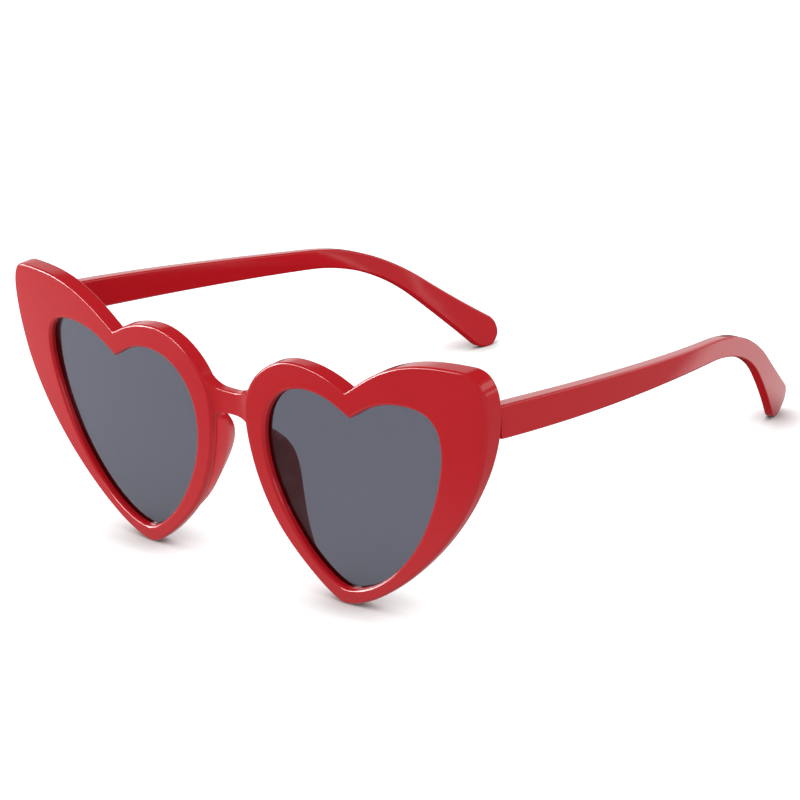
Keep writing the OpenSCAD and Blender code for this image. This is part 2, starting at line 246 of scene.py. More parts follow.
class LensSizes(bpy.types.PropertyGroup):
    thickness: length("Thickness", 1.1, "Thickness of a lens")
    setback: length("Setback", 1.6, "Depth of the lens behind the front of the rim")
    groove: length("Groove", 0.8, "Depth of the groove that holds the lens")
    play: length("Play", 0.05, "Play between the lens and the groove")


class PadSizes(bpy.types.PropertyGroup):
    reach: length("Reach", 7.2, "Reach of a pad behind the front")
    low: length("Lower End", 9, "Height of the pad's lower end")
    high: length("Upper End", 37.6, "Height of the pad's upper end")
    seam: length("Seam", 1.5, "Depth of the seam between the rim's side and the pad")
    proud: length("Proud", 0.3, "How far the pad stands proud of the rim's side")
    rebate: length("Rebate", 0.8, "Depth of the rebate in the rim's side")
    rounding: length("Rounding", 0.25, "Rounding of the pad's leading edge")


class TempleSizes(bpy.types.PropertyGroup):
    length: length("Length", 143.47, "Length along the middle line")
    straight: length("Straight", 83, "Length of the straight part, up to the bend")
    bend_radius: length("Bend Radius", 55, "Radius of the bend over the ear")
    bend_angle: bpy.props.FloatProperty(
        name="Bend Angle", description="Angle of the bend over the ear",
        default=math.radians(36), subtype="ANGLE",
    )
    hinge_height: length("Hinge Height", 7.4, "Height at the hinge")
    waist_height: length("Waist Height", 4.7, "Height at the waist, over the ear")
    tip_height: length("Tip Height", 8.6, "Height of the rounded tip")
    waist: share("Waist", 0.72, "Where the waist is along the length")
    hinge_thickness: length("Hinge Thickness", 3.4, "Thickness at the hinge")
    tip_thickness: length("Tip Thickness", 2.4, "Thickness at the tip")
    sweep: length("Sweep", 25, "How far the tip comes in")
    flat: length("Flat", 8, "Length of flat outer face behind the hinge")
    edge: length("Edge", 0.5, "Rounding of the long edges")
    end_edge: length("End Edge", 0.3, "Rounding round the end at the hinge")
    gap: length("Gap", 0.2, "Gap between the front and the temple")
    inset: share("Inset", 0.007, "Outer face's place inside the front's half width")


class HingeSizes(bpy.types.PropertyGroup):
    leaf: length("Leaf", 1.2, "Thickness of the leaves")
    front_leaf: length("Front Leaf", 6, "Width of the leaf on the front")
    stand: length("Stand", 2.5, "Distance from the front's leaf to the hinge axis")
    rounding: length("Rounding", 0.12, "Rounding of the metal's edges")


class Finish(bpy.types.PropertyGroup):
    plastic: colour("Plastic", (0.44, 0.006, 0.011), "Moulded frame")
    # Painted light: the pads' colour is the frame's plastic painted lighter, standing in for the
    # light that passes through them.
    pad: colour("Pad", (0.62, 0.012, 0.02), "Nose pads, which let a little light through")
    lens: colour("Lens", (0.1, 0.104, 0.132), "Smoke tint of the lenses")
    steel: colour("Steel", (0.62, 0.62, 0.63), "Hinges and screws")
    floor: colour("Floor", (0.8, 0.8, 0.8), "Floor that the glasses stand on")
    # Painted contact shadow: the floor's colour fades to this where something stands close above
    # it.
    contact: colour("Contact", (0.2, 0.14, 0.14), "Floor right under a contact")


class Light(bpy.types.PropertyGroup):
    world: strength("World", 0.12, "Even light from all round")
    overhead: strength("Overhead", 1.2, "Added to it from straight above")
    front: strength("Front", 0.2, "Added to it from the front")
    right: strength("Right", 0.75, "Added to it from the right")
    key: strength("Key", 2.5, "Power of the softbox at the left, in watts")
    strip: strength("Strip", 3.2, "Power of the strip that only shows in reflections, in watts")
    floor_glow: strength("Floor Glow", 0.45, "Light of the floor itself, away from contacts")
    floor_mirror: strength("Floor Mirror", 0.02, "How bright the floor looks in reflections")
    front_mirror: strength("Front Mirror", 0.2, "Added to it in front of the glasses")
    near_mirror: strength("Near Mirror", 0.25, "Added to it in front and close by")
    left_mirror: strength("Left Mirror", 0.3, "Added to it in front and at the left")
    right_mirror: strength("Right Mirror", 0.3, "Added to it at the right")
    far_mirror: strength("Far Mirror", 0.8, "Added to it far behind")
    back_mirror: strength("Back Mirror", 1, "Added to it behind the right tip")
    ceiling_mirror: strength("Ceiling Mirror", 0.1, "How bright the ceiling looks in reflections")
    wall_mirror: strength("Wall Mirror", 0.5, "Added to it on the left walls")
    foot_mirror: strength("Foot Mirror", 0.4, "Added to it along the foot of the left walls")
    side_mirror: strength("Side Mirror", 0.2, "Added to it on the right walls")
    window_mirror: strength("Window Mirror", 1, "Added to it in a band of the right walls")


def settings():
    return bpy.context.scene.sunglasses


class Sunglasses(bpy.types.PropertyGroup):
    front: bpy.props.PointerProperty(type=FrontSizes)
    lens: bpy.props.PointerProperty(type=LensSizes)
    pad: bpy.props.PointerProperty(type=PadSizes)
    temple: bpy.props.PointerProperty(type=TempleSizes)
    hinge: bpy.props.PointerProperty(type=HingeSizes)
    finish: bpy.props.PointerProperty(type=Finish)
    light: bpy.props.PointerProperty(type=Light)


# Shape helpers


def ramp(u):
    """From 0 to 1, level at both ends."""
    t = np.clip(u, 0, 1)
    return t * t * (3 - 2 * t)


def quarter(steps):
    """Angles over a quarter turn, with small first and last steps so that the rounding
    runs into the flat faces beside it."""
    return [math.pi / 2 * float(ramp(k / steps)) for k in range(steps + 1)]


def heading(degrees):
    angle = math.radians(degrees)
    return np.array([math.cos(angle), math.sin(angle)])


def outline(rows):
    """Points of a closed heart outline, a cubic curve from row to row, as (x, z)."""
    high = settings().front.height
    scale = np.array([front_high.x, high])
    t = (np.arange(STEPS) / STEPS)[:, None]
    points = []
    for a, b in zip(rows, rows[1:] + rows[:1]):
        p, s = scale * a[:2], scale * b[:2]
        q = p + a[5] * high * heading(a[3])
        r = s - b[4] * high * heading(b[2])
        ends = p * (1 - t) ** 3 + s * t**3
        points.append(ends + 3 * q * t * (1 - t) ** 2 + 3 * r * t * t * (1 - t))
    return np.minimum(np.concatenate(points), (front_high.x, front_high.z))


def outward(points, reach=2):
    """Outward unit normals of a closed outline, averaged over a few neighbours."""
    d = np.roll(points, -1, 0) - np.roll(points, 1, 0)
    n = np.stack([d[:, 1], -d[:, 0]], 1)
    n /= np.linalg.norm(n, axis=1, keepdims=True)
    n = sum(np.roll(n, k, 0) for k in range(-reach, reach + 1))
    return n / np.linalg.norm(n, axis=1, keepdims=True)


def rise(points, span):
    """How far up a span of the front's height each point lies, from 0 to 1."""
    return ramp((points[:, 1] / settings().front.height - span[0]) / (span[1] - span[0]))


def bow(x):
    """How far back the front's bow and the wings' sweep take its face at x."""
    front = settings().front
    past = np.maximum(0, np.abs(x) / front_high.x - SWEEP_START) / (1 - SWEEP_START)
    return x * x / (2 * front.bow_radius) + front.wing_sweep * past**2


def front_thickness(points):
    """Thickness of the front, which grows towards the tops of the wings."""
    front = settings().front
    wing = (points[:, 0] / front_high.x) ** WING_POWER * rise(points, WING_RISE)
    return front.thickness + front.wing_extra * wing


def front_rounding(out):
    """Rounding of the outer front edge, larger where it faces to the side."""
    front = settings().front
    return front.front_edge + front.side_edge * out[:, 0] ** 2


def back_rounding(points):
    """Rounding of the outer back edge, larger low on a heart and at the wing's corner."""
    front = settings().front
    corner = (points[:, 0] / front_high.x) ** CORNER_POWER * rise(points, CORNER_RISE)
    low = rise(points, LOW_FADE)
    return front.back_edge + front.corner_edge * corner + front.low_edge * low


def bow_start():
    """Where the bow's vertex lies, worked back from the hinge's axis."""
    hinge = settings().hinge
    leaf = np.array([[HINGE.x - hinge.front_leaf / 2, HINGE.z]])
    return HINGE.y - hinge.stand - float(front_thickness(leaf)[0] + bow(leaf[0, 0]))


def on_bow(points, depth):
    """(x, z) points of the front and their depth behind its bow, as points in space."""
    depth = np.broadcast_to(depth, points.shape[:1])
    return np.stack([points[:, 0], bow_start() + bow(points[:, 0]) + depth, points[:, 1]], 1)


def linked(name, data):
    """A new object of the scene that shows the given data."""
    obj = bpy.data.objects.new(name, data)
    bpy.context.scene.collection.objects.link(obj)
    return obj


def mesh_object(name, points, faces, material):
    mesh = bpy.data.meshes.new(name)
    mesh.from_pydata([tuple(p) for p in points], [], faces)
    mesh.materials.append(material)
    mesh.update()
    return linked(name, mesh)


def loft(name, sections, material, closed=False):
    """A ring through closed sections, or a bar with an end face on its first and last."""
    n, m = sections.shape[:2]

    def at(i, j):
        return (i % n) * m + j % m

    faces = [
        (at(i, j), at(i + 1, j), at(i + 1, j + 1), at(i, j + 1))
        for i in range(n if closed else n - 1)
        for j in range(m)
    ]
    if not closed:
        faces += [tuple(range(m)), tuple(range((n - 1) * m, n * m))]
    obj = mesh_object(name, sections.reshape(-1, 3), faces, material)
    tidy(obj)
    return obj


def tidy(obj, merge=1e-7, sharp=math.radians(35)):
    """Merges doubles, turns the faces outwards and smooths all but the sharp edges."""
    bm = bmesh.new()
    bm.from_mesh(obj.data)
    bmesh.ops.remove_doubles(bm, verts=bm.verts, dist=merge)
    bmesh.ops.recalc_face_normals(bm, faces=bm.faces)
    for face in bm.faces:
        face.smooth = True
    for edge in bm.edges:
        if len(edge.link_faces) == 2:
            edge.smooth = edge.calc_face_angle(0) < sharp
    bm.to_mesh(obj.data)
    bm.free()


def mirrored(obj, name):
    """A copy of a left piece for the right side."""
    mesh = obj.data.copy()
    mesh.name = name
    mesh.transform(Matrix.Scale(-1, 4, (1, 0, 0)))
    mesh.flip_normals()
    return linked(name, mesh)


def settle(obj):
    """Applies an object's modifiers to its mesh."""
    evaluated = obj.evaluated_get(bpy.context.evaluated_depsgraph_get())
    mesh = bpy.data.meshes.new_from_object(evaluated)
    obj.modifiers.clear()
    old = obj.data
    obj.data = mesh
    bpy.data.meshes.remove(old)


def combine(obj, others, operation):
    """Joins others to obj as one solid, or cuts them from it."""
    for other in others:
        cut = obj.modifiers.new(operation.title(), "BOOLEAN")
        cut.operation = operation
        cut.solver = "MANIFOLD"
        cut.object = other
    settle(obj)
    for other in others:
        bpy.data.objects.remove(other)
    tidy(obj)


def block(name, low, high, material):
    """A plain box between two corners."""
    bm = bmesh.new()
    bmesh.ops.create_cube(bm, size=1)
    for v in bm.verts:
        v.co = [low[k] + (v.co[k] + 0.5) * (high[k] - low[k]) for k in range(3)]
    mesh = bpy.data.meshes.new(name)
    bm.to_mesh(mesh)
    bm.free()
    mesh.materials.append(material)
    return linked(name, mesh)


def dress(obj, body, slot, *nodes):
    """Sets a finished piece on its body and hides the nodes it stands for. The slot is not used.
    """
    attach(obj, body)
    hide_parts(*nodes)


# Node helpers


class Nodes:
    """Short calls for building a node tree."""

    def __init__(self, tree):
        self.tree = tree

    def add(self, kind, inputs=(), **values):
        node = self.tree.nodes.new(kind)
        for name, value in values.items():
            setattr(node, name, value)
        for name, value in dict(inputs).items():
            self.feed(node.inputs[name], value)
        return node

    def feed(self, socket, value):
        if isinstance(value, bpy.types.NodeSocket):
            self.tree.links.new(value, socket)
        else:
            socket.default_value = value

    def math(self, operation, *values):
        node = self.add("ShaderNodeMath", operation=operation)
        for socket, value in zip(node.inputs, values):
            self.feed(socket, value)
        return node.outputs[0]

    def difference(self, a, b):
        return self.math("SUBTRACT", a, b)

    def ratio(self, a, b):
        return self.math("DIVIDE", a, b)

    def sum(self, first, *others):
        for other in others:
            first = self.math("ADD", first, other)
        return first

    def product(self, first, *others):
        for other in others:
            first = self.math("MULTIPLY", first, other)
        return first

    def span(self, value, low, high, to_low=0.0, to_high=1.0, kind="LINEAR"):
        node = self.add("ShaderNodeMapRange", interpolation_type=kind)
        for name, v in (
            ("Value", value), ("From Min", low), ("From Max", high),
            ("To Min", to_low), ("To Max", to_high),
        ):
            self.feed(node.inputs[name], v)
        return node.outputs["Result"]

    def fade(self, value, ends, to_low=0.0, to_high=1.0):
        """A soft change from one value to another between two ends."""
        return self.span(value, *ends, to_low, to_high, "SMOOTHSTEP")

    def band(self, value, ends, height=1.0):
        """A height inside a band with soft edges, and 0 outside it."""
        return self.product(
            self.fade(value, ends[:2], 0, height), self.fade(value, ends[2:], 1, 0)
        )


def socket(tree, name, kind, in_out="INPUT"):
    return tree.interface.new_socket(name=name, in_out=in_out, socket_type="NodeSocket" + kind)


def grown(name, tree, values, material):
    """The mesh that a geometry tree makes from named input values, as a plain object."""
    obj = mesh_object(name, [], [], material)
    grow = obj.modifiers.new("Grow", "NODES")
    grow.node_group = tree
    for item in tree.interface.items_tree:
        if item.item_type == "SOCKET" and item.in_out == "INPUT":
            grow[item.identifier] = values[item.name]
    settle(obj)
    tidy(obj, merge=1e-6)
    return obj


def temple_tree():
    """A bar that follows the temple's bent line: rounded rectangle sections whose height
    narrows to a waist and widens to a round tip, while the bar thins and sweeps inwards."""
    tree = bpy.data.node_groups.new("temple_sweep", "GeometryNodeTree")
    for name in (*TEMPLE_SIZES, "Tilt", "Outer X", "Start Y", "Hinge Z"):
        socket(tree, name, "Float")
    for name in TEMPLE_STEPS:
        socket(tree, name, "Int")
    socket(tree, "Material", "Material")
    socket(tree, "Geometry", "Geometry", "OUTPUT")
    n = Nodes(tree)
    size = n.add("NodeGroupInput").outputs

    # Rows run along the temple and columns round its section, four corners of each
    body_row = n.sum(size["End Steps"], size["Body Steps"])
    last_row = n.sum(body_row, size["Tip Steps"])
    corner = n.sum(size["Corner Steps"], 1)
    columns = n.sum(n.product(corner, 4), 1)
    grid = n.add(
        "GeometryNodeMeshGrid", {"Vertices X": n.sum(last_row, 2), "Vertices Y": columns}
    )
    index = n.add("GeometryNodeInputIndex").outputs[0]
    row = n.difference(n.math("FLOOR", n.ratio(index, columns)), 1)
    column = n.math("MODULO", index, columns)

    # Length along the line, from the rounded end over the body to the rounded tip
    quarter_turn = math.pi / 2
    end_turn = n.span(row, 0, size["End Steps"], quarter_turn, 0)
    tip_turn = n.span(row, body_row, last_row, 0, quarter_turn)
    tip_radius = n.ratio(size["Tip Height"], 2)
    body = n.difference(size["Length"], tip_radius)
    end_inset = n.product(size["End Edge"], n.difference(1, n.math("COSINE", end_turn)))
    end_run = n.product(size["End Edge"], n.difference(1, n.math("SINE", end_turn)))
    s = n.sum(
        end_run,
        n.span(row, size["End Steps"], body_row, 0, n.difference(body, size["End Edge"])),
        n.product(tip_radius, n.math("SINE", tip_turn)),
    )

    # The middle line in the upright plane
    bend_length = n.product(size["Bend Radius"], size["Bend Angle"])
    bend_end = n.sum(size["Straight"], bend_length)
    turn = n.sum(size["Tilt"], n.span(s, size["Straight"], bend_end, 0, size["Bend Angle"]))
    straight = n.math("MINIMUM", s, size["Straight"])
    tail = n.math("MAXIMUM", n.difference(s, bend_end), 0)
    sin_turn, cos_turn = n.math("SINE", turn), n.math("COSINE", turn)
    sin_tilt, cos_tilt = n.math("SINE", size["Tilt"]), n.math("COSINE", size["Tilt"])
    run = n.sum(
        n.product(straight, cos_tilt),
        n.product(size["Bend Radius"], n.difference(sin_turn, sin_tilt)),
        n.product(tail, cos_turn),
    )
    drop = n.sum(
        n.product(straight, sin_tilt),
        n.product(size["Bend Radius"], n.difference(cos_tilt, cos_turn)),
        n.product(tail, sin_turn),
    )

    # Half height of the section: down to the waist in a cosine, then up to the tip. The
    # row before the end and the tip's last row close the bar
    waist = n.product(size["Length"], size["Waist"])
    fall = n.math("COSINE", n.span(s, 0, waist, 0, math.pi))
    grow = n.math("POWER", n.span(s, waist, body, 0, 1), 2)
    height = n.sum(
        size["Hinge Height"],
        n.product(
            n.difference(size["Waist Height"], size["Hinge Height"]),
            n.ratio(n.difference(1, fall), 2),
        ),
        n.product(n.difference(size["Tip Height"], size["Waist Height"]), grow),
    )
    whole = n.math("GREATER_THAN", row, -1)
    half = n.product(
        n.difference(n.ratio(height, 2), end_inset), n.math("COSINE", tip_turn), whole
    )

    # Thickness of the section, rounded off at the tip
    full_thickness = n.span(
        s, size["Flat"], size["Length"], size["Hinge Thickness"], size["Tip Thickness"]
    )
    from_tip = n.difference(size["Length"], s)
    past = n.math("MAXIMUM", n.difference(size["Edge"], from_tip), 0)
    squares = n.difference(n.math("POWER", size["Edge"], 2), n.math("POWER", past, 2))
    kept = n.math("SQRT", n.math("MAXIMUM", squares, 0))
    tip_inset = n.product(n.difference(size["Edge"], kept), TIP_THINNING)
    thickness = n.product(
        n.difference(full_thickness, n.product(2, n.sum(end_inset, tip_inset))), whole
    )

    # Rounding of the section, and where its middle is from side to side
    limits = n.product(half, CORNER_SHARES[0]), n.product(thickness, CORNER_SHARES[1])
    radius = n.math("MINIMUM", size["Edge"], n.math("MINIMUM", *limits))
    back = n.ratio(
        n.difference(n.math("MAXIMUM", s, size["Flat"]), size["Flat"]),
        n.difference(size["Length"], size["Flat"]),
    )
    outer = n.difference(size["Outer X"], n.product(size["Sweep"], n.math("POWER", back, 2)))
    middle = n.difference(outer, n.ratio(full_thickness, 2))

    # The corner of the section that a column belongs to
    which = n.math("FLOOR", n.ratio(column, corner))
    step = n.fade(n.math("MODULO", column, corner), (0, size["Corner Steps"]), 0, quarter_turn)
    angle = n.sum(step, n.product(which, quarter_turn))
    diagonal = n.product(n.sum(which, 0.5), quarter_turn)
    across, along = n.math("COSINE", diagonal), n.math("SINE", diagonal)
    up = n.sum(
        n.product(n.math("SIGN", across), n.difference(half, radius)),
        n.product(radius, n.math("COSINE", angle)),
    )
    out = n.sum(
        n.product(n.math("SIGN", along), n.difference(n.ratio(thickness, 2), radius)),
        n.product(radius, n.math("SINE", angle)),
    )
    lean = n.product(turn, n.fade(s, (0, n.product(size["Hinge Height"], LEAN_SHARE))))
    place = n.add("ShaderNodeCombineXYZ", {
        "X": n.sum(middle, out),
        "Y": n.sum(size["Start Y"], run, n.product(up, n.math("SINE", lean))),
        "Z": n.sum(n.difference(size["Hinge Z"], drop), n.product(up, n.math("COSINE", lean))),
    })
    moved = n.add("GeometryNodeSetPosition", {
        "Geometry": grid.outputs["Mesh"], "Position": place.outputs[0],
    })
    real = n.add("GeometryNodeRealizeInstances", {"Geometry": moved.outputs[0]})
    painted = n.add("GeometryNodeSetMaterial", {
        "Geometry": real.outputs[0], "Material": size["Material"],
    })
    n.add("NodeGroupOutput", {"Geometry": painted.outputs[0]})
    return tree


# Materials

# Part of the rubbing noise that shows, and how much lighter and darker the plastic clouds
RUB_SPAN = (0.5, 0.75)
CLOUDING = 0.04


def new_material(name, **values):
    """A material with its nodes, and values of its shader's inputs by their names."""
    material = bpy.data.materials.new(name)
    material.use_nodes = True
    shader = material.node_tree.nodes["Principled BSDF"]
    for socket_name, value in values.items():
        label = socket_name.replace("_", " ").title().replace("Ior", "IOR")
        shader.inputs[label].default_value = value
    return material, Nodes(material.node_tree), shader


def surface_group():
    """Faint moulding waviness and fine rubbing, as a height and a roughness."""
    tree = bpy.data.node_groups.get("surface_wear")
    if tree:
        return tree
    tree = bpy.data.node_groups.new("surface_wear", "ShaderNodeTree")
    for name in ("Roughness", "Rub", "Wave Scale", "Rub Scale"):
        socket(tree, name, "Float")
    socket(tree, "Roughness", "Float", "OUTPUT")
    socket(tree, "Height", "Float", "OUTPUT")
    n = Nodes(tree)
    given = n.add("NodeGroupInput").outputs
    place = n.add("ShaderNodeTexCoord").outputs["Object"]
    wave = n.add("ShaderNodeTexNoise", {"Vector": place, "Scale": given["Wave Scale"]})
    rub = n.add("ShaderNodeTexNoise", {
        "Vector": place, "Scale": given["Rub Scale"], "Detail": 6.0, "Roughness": 0.7,
    })
    rubbed = n.span(rub.outputs["Fac"], *RUB_SPAN, 0, given["Rub"])
    n.add("NodeGroupOutput", {
        "Roughness": n.sum(given["Roughness"], rubbed),
        "Height": wave.outputs["Fac"],
    })
    return tree


def surfaced(n, shader, roughness, rub, wave_scale, rub_scale, bump, distance):
    """Gives a material the shared surface effect."""
    wear = n.add("ShaderNodeGroup", node_tree=surface_group())
    for name, value in (
        ("Roughness", roughness), ("Rub", rub),
        ("Wave Scale", wave_scale), ("Rub Scale", rub_scale),
    ):
        wear.inputs[name].default_value = value
    n.feed(shader.inputs["Roughness"], wear.outputs["Roughness"])
    bumped = n.add("ShaderNodeBump", {
        "Strength": bump, "Distance": distance, "Height": wear.outputs["Height"],
    })
    n.feed(shader.inputs["Normal"], bumped.outputs["Normal"])


def plastic(name="red_plastic", colour_name="plastic"):
    """Glossy red plastic, very slightly clouded."""
    if name in bpy.data.materials:
        return bpy.data.materials[name]
    red = getattr(settings().finish, colour_name)
    material, n, shader = new_material(name, base_color=(*red, 1), ior=1.6)
    place = n.add("ShaderNodeTexCoord").outputs["Object"]
    cloud = n.add("ShaderNodeTexNoise", {"Vector": place, "Scale": 60.0, "Detail": 3.0})
    mix = n.add("ShaderNodeMix", data_type="RGBA")
    n.feed(mix.inputs["Factor"], cloud.outputs["Fac"])
    n.feed(mix.inputs["A"], (*(c * (1 - CLOUDING) for c in red), 1))
    n.feed(mix.inputs["B"], (*(c * (1 + CLOUDING) for c in red), 1))
    n.feed(shader.inputs["Base Color"], mix.outputs["Result"])
    surfaced(
        n, shader, roughness=0.08, rub=0.06, wave_scale=90, rub_scale=900, bump=0.06,
        distance=0.0004,
    )
    return material


def smoke_lens():
    """Tinted clear plastic of the lenses."""
    name = "smoke_lens"
    if name in bpy.data.materials:
        return bpy.data.materials[name]
    material, n, shader = new_material(
        name, base_color=(*settings().finish.lens, 1), transmission_weight=1.0, ior=1.45
    )
    surfaced(
        n, shader, roughness=0.015, rub=0.02, wave_scale=40, rub_scale=500, bump=0.01,
        distance=0.0002,
    )
    return material


def steel():
    """Slightly dull steel of the hinges."""
    name = "hinge_steel"
    if name in bpy.data.materials:
        return bpy.data.materials[name]
    material, n, shader = new_material(
        name, base_color=(*settings().finish.steel, 1), metallic=1.0
    )
    surfaced(
        n, shader, roughness=0.25, rub=0.25, wave_scale=700, rub_scale=4000, bump=0.1,
        distance=0.0001,
    )
    return material


# The pieces


def heart_rim(material):
    """One rim as a closed ring. Its loops run round the outline and follow each other
    round the rim's section: outer edge, back, groove, the opening's edge and face."""
    front, lens = settings().front, settings().lens
    rim, opening = outline(RIM), outline(OPENING)
    rim_out, opening_out = outward(rim), outward(opening)
    near, rounding = front_rounding(rim_out), back_rounding(rim)
    thick, inner = front_thickness(rim), front_thickness(opening)
    turns = quarter(TURN_STEPS)
    loops = []

    def edge(points, out, inset, depth):
        loops.append(on_bow(points + out * np.reshape(inset, (-1, 1)), depth))

    def face(start, end, start_depth=0, end_depth=0):
        for t in FACE_SHARES:
            depth = start_depth * (1 - t) + end_depth * t
            loops.append(on_bow(start * (1 - t) + end * t, depth))

    for a in reversed(turns):
        edge(rim, -rim_out, near * (1 - math.cos(a)), near * (1 - math.sin(a)))
    for a in turns:
        edge(rim, -rim_out, rounding * (1 - math.cos(a)), thick - rounding * (1 - math.sin(a)))
    face(rim - rim_out * rounding[:, None], opening + opening_out * front.back_edge, thick, inner)
    for a in reversed(turns):
        edge(opening, opening_out, front.back_edge * (1 - math.cos(a)),
             inner - front.back_edge * (1 - math.sin(a)))
    groove_front = lens.setback - lens.play
    groove_back = lens.setback + lens.thickness + lens.play
    for inset, depth in (
        (0, groove_back), (lens.groove, groove_back), (lens.groove, groove_front),
        (0, groove_front),
    ):
        edge(opening, opening_out, inset, depth)
    for a in turns:
        edge(opening, opening_out, front.opening_edge * (1 - math.cos(a)),
             front.opening_edge * (1 - math.sin(a)))
    face(opening + opening_out * front.opening_edge, rim - rim_out * near[:, None])
    return loft("heart_rim", np.stack(loops, 1), material, closed=True)


def bridge(material):
    """A rounded bar from rim to rim, whose face and height flare at both ends."""
    front = settings().front
    span, foot = front_high.x * front.bridge_end, front_high.x * front.bridge_foot
    middle = front.height * front.bridge_level
    far = front.thickness - front.back_edge * front.bridge_back
    radius = front.front_edge * front.bridge_edge
    sections = []
    for k in range(-STEPS, STEPS + 1):
        x = span * k / STEPS
        flare = (abs(x) / foot) ** FLARE_POWER
        low = middle - front.bridge_height / 2 - front.bridge_drop * flare
        high = middle + front.bridge_height / 2 + front.bridge_rise * flare
        near = front.bridge_set - front.bridge_flare * min(1, flare)
        section = []
        for corner, (cy, cz) in enumerate((
            (far - radius, high - radius), (near + radius, high - radius),
            (near + radius, low + radius), (far - radius, low + radius),
        )):
            for a in quarter(TURN_STEPS):
                turn = corner * math.pi / 2 + a
                section.append((x, bow_start() + bow(x) + cy + radius * math.cos(turn),
                                cz + radius * math.sin(turn)))
        sections.append(section)
    return loft("bridge", np.array(sections), material)


def corners_cut(points):
    """The same open line with its corners cut."""
    cut = [points[0]]
    for a, b in zip(points, points[1:]):
        for t in (PAD_CUT, 1 - PAD_CUT):
            cut.append(tuple(p * (1 - t) + q * t for p, q in zip(a, b)))
    return cut + [points[-1]]


def pad_solid(name, material):
    """A nose pad as sections across the rim's nasal side. Each runs from the seam round
    the fin to the root, and towards both ends of the pad they sink into the rebate."""
    front, pad = settings().front, settings().pad
    rim, opening = outline(RIM), outline(OPENING)
    out = outward(rim)
    shares = PAD_SECTION
    for _ in range(PAD_CUTS):
        shares = corners_cut(shares)
    root = front.thickness - front.back_edge
    sections = []
    for i in range(NASAL_ROW * STEPS, len(rim)):
        u = (rim[i, 1] - pad.low) / (pad.high - pad.low)
        if not PAD_ENDS[0] < u < PAD_ENDS[1]:
            continue
        swell = math.sin(math.pi * u**PAD_SKEW) ** PAD_FULLNESS
        sunk = (1 - swell) ** PAD_SINK_POWER
        proud = pad.proud * swell - pad.rebate * sunk
        across = opening[i] - rim[i]
        rebate = rim[i] - out[i] * pad.rebate
        rows = [(rebate, pad.seam)]
        for a in quarter(PAD_TURN_STEPS):
            rows.append((rim[i] + out[i] * (proud - pad.rounding * (1 - math.sin(a))),
                         pad.seam + pad.rounding * (1 - math.cos(a))))
        for s, reach in shares:
            rows.append((rim[i] + across * s + out[i] * proud * (1 - s),
                         front.thickness - front.back_edge * sunk + reach * pad.reach * swell))
        rows += [(rim[i] + across * PAD_ROOT, root), (rebate, root)]
        sections.append([on_bow(np.array([p]), d)[0] for p, d in rows])
    return loft(name, np.array(sections), material)


class SUNGLASSES_OT_front(bpy.types.Operator):
    """Moulds the two heart rims and the bridge as one piece, with its rebates and pockets"""

    bl_idname = "sunglasses.front"
    bl_label = "Front"

    def execute(self, context):
        hinge, play = settings().hinge, settings().lens.play
        red = plastic()
        front = heart_rim(red)
        # The pocket's cutter runs out of the back of the wing
        low = hinge_low - Vector((play, play, play))
        high = Vector((
            hinge_low.x + hinge.front_leaf + play, hinge_low.y + 2 * hinge.leaf,
            hinge_high.z + play,
        ))
        cutters = [pad_solid("pad_cutter", red), block("pocket_cutter", low, high, red)]
        cutters += [mirrored(cutter, cutter.name + "_right") for cutter in cutters]
        combine(front, [mirrored(front, "heart_rim_right"), bridge(red)], "UNION")
        combine(front, cutters, "DIFFERENCE")
        front.name = "front"
        dress(front, "front", "frame_plastic", "front_frame")
        return {"FINISHED"}


class SUNGLASSES_OT_lenses(bpy.types.Operator):
    """Cuts the two smoke lenses to the grooves of the rims"""

    bl_idname = "sunglasses.lenses"
    bl_label = "Lenses"

    def execute(self, context):
        lens = settings().lens
        tint = smoke_lens()
        opening = outline(OPENING)
        edge = opening + outward(opening) * (lens.groove - 2 * lens.play)
        centre = np.array(LENS_CENTRE) * (front_high.x, settings().front.height)
        shares = np.linspace(1 / LENS_RINGS, 1, LENS_RINGS)
        back = lens.setback + lens.thickness
        rings = [on_bow(centre + (edge - centre) * t, back) for t in shares]
        rings += [on_bow(centre + (edge - centre) * t, lens.setback) for t in shares[::-1]]
        left = loft("lens_l", np.array(rings), tint)
        right = mirrored(left, "lens_r")
        dress(left, "front", "lens_tint", "lens_left")
        dress(right, "front", "lens_tint", "lens_right")
        return {"FINISHED"}


class SUNGLASSES_OT_nose_pads(bpy.types.Operator):
    """Bonds the two nose pads into the rims"""

    bl_idname = "sunglasses.nose_pads"
    bl_label = "Nose Pads"

    def execute(self, context):
        # The pads take a copy of the plastic painted lighter, as painted light for what passes
        # through them.
        left = pad_solid("nose_pad_l", plastic("pad_plastic", "pad"))
        right = mirrored(left, "nose_pad_r")
        dress(left, "front", "frame_plastic", "nose_pad_left")
        dress(right, "front", "frame_plastic", "nose_pad_right")
        return {"FINISHED"}


def temple_start():
    """Where the temples' ends lie, a gap behind the wings."""
    front = settings().front
    wing = front.thickness + front.wing_extra
    return bow_start() + bow(front_high.x) + wing + settings().temple.gap


def temple_tilt():
    """The tilt that brings the tip down to the ground."""
    size = settings().temple
    radius, angle = size.bend_radius, size.bend_angle
    tip = size.tip_height / 2
    tail = size.length - size.straight - radius * angle - tip
    run = size.straight + radius * math.sin(angle) + tail * math.cos(angle)
    fall = radius * (1 - math.cos(angle)) + tail * math.sin(angle)
    return math.asin((HINGE.z - tip) / math.hypot(run, fall)) - math.atan2(fall, run)


def temple_values():
    """The values of the inputs of the temple's tree."""
    size = settings().temple
    sizes = {name: getattr(size, name.lower().replace(" ", "_")) for name in TEMPLE_SIZES}
    return sizes | TEMPLE_STEPS | {
        "Tilt": temple_tilt(), "Outer X": front_high.x * (1 - size.inset),
        "Start Y": temple_start(), "Hinge Z": HINGE.z, "Material": plastic(),
    }


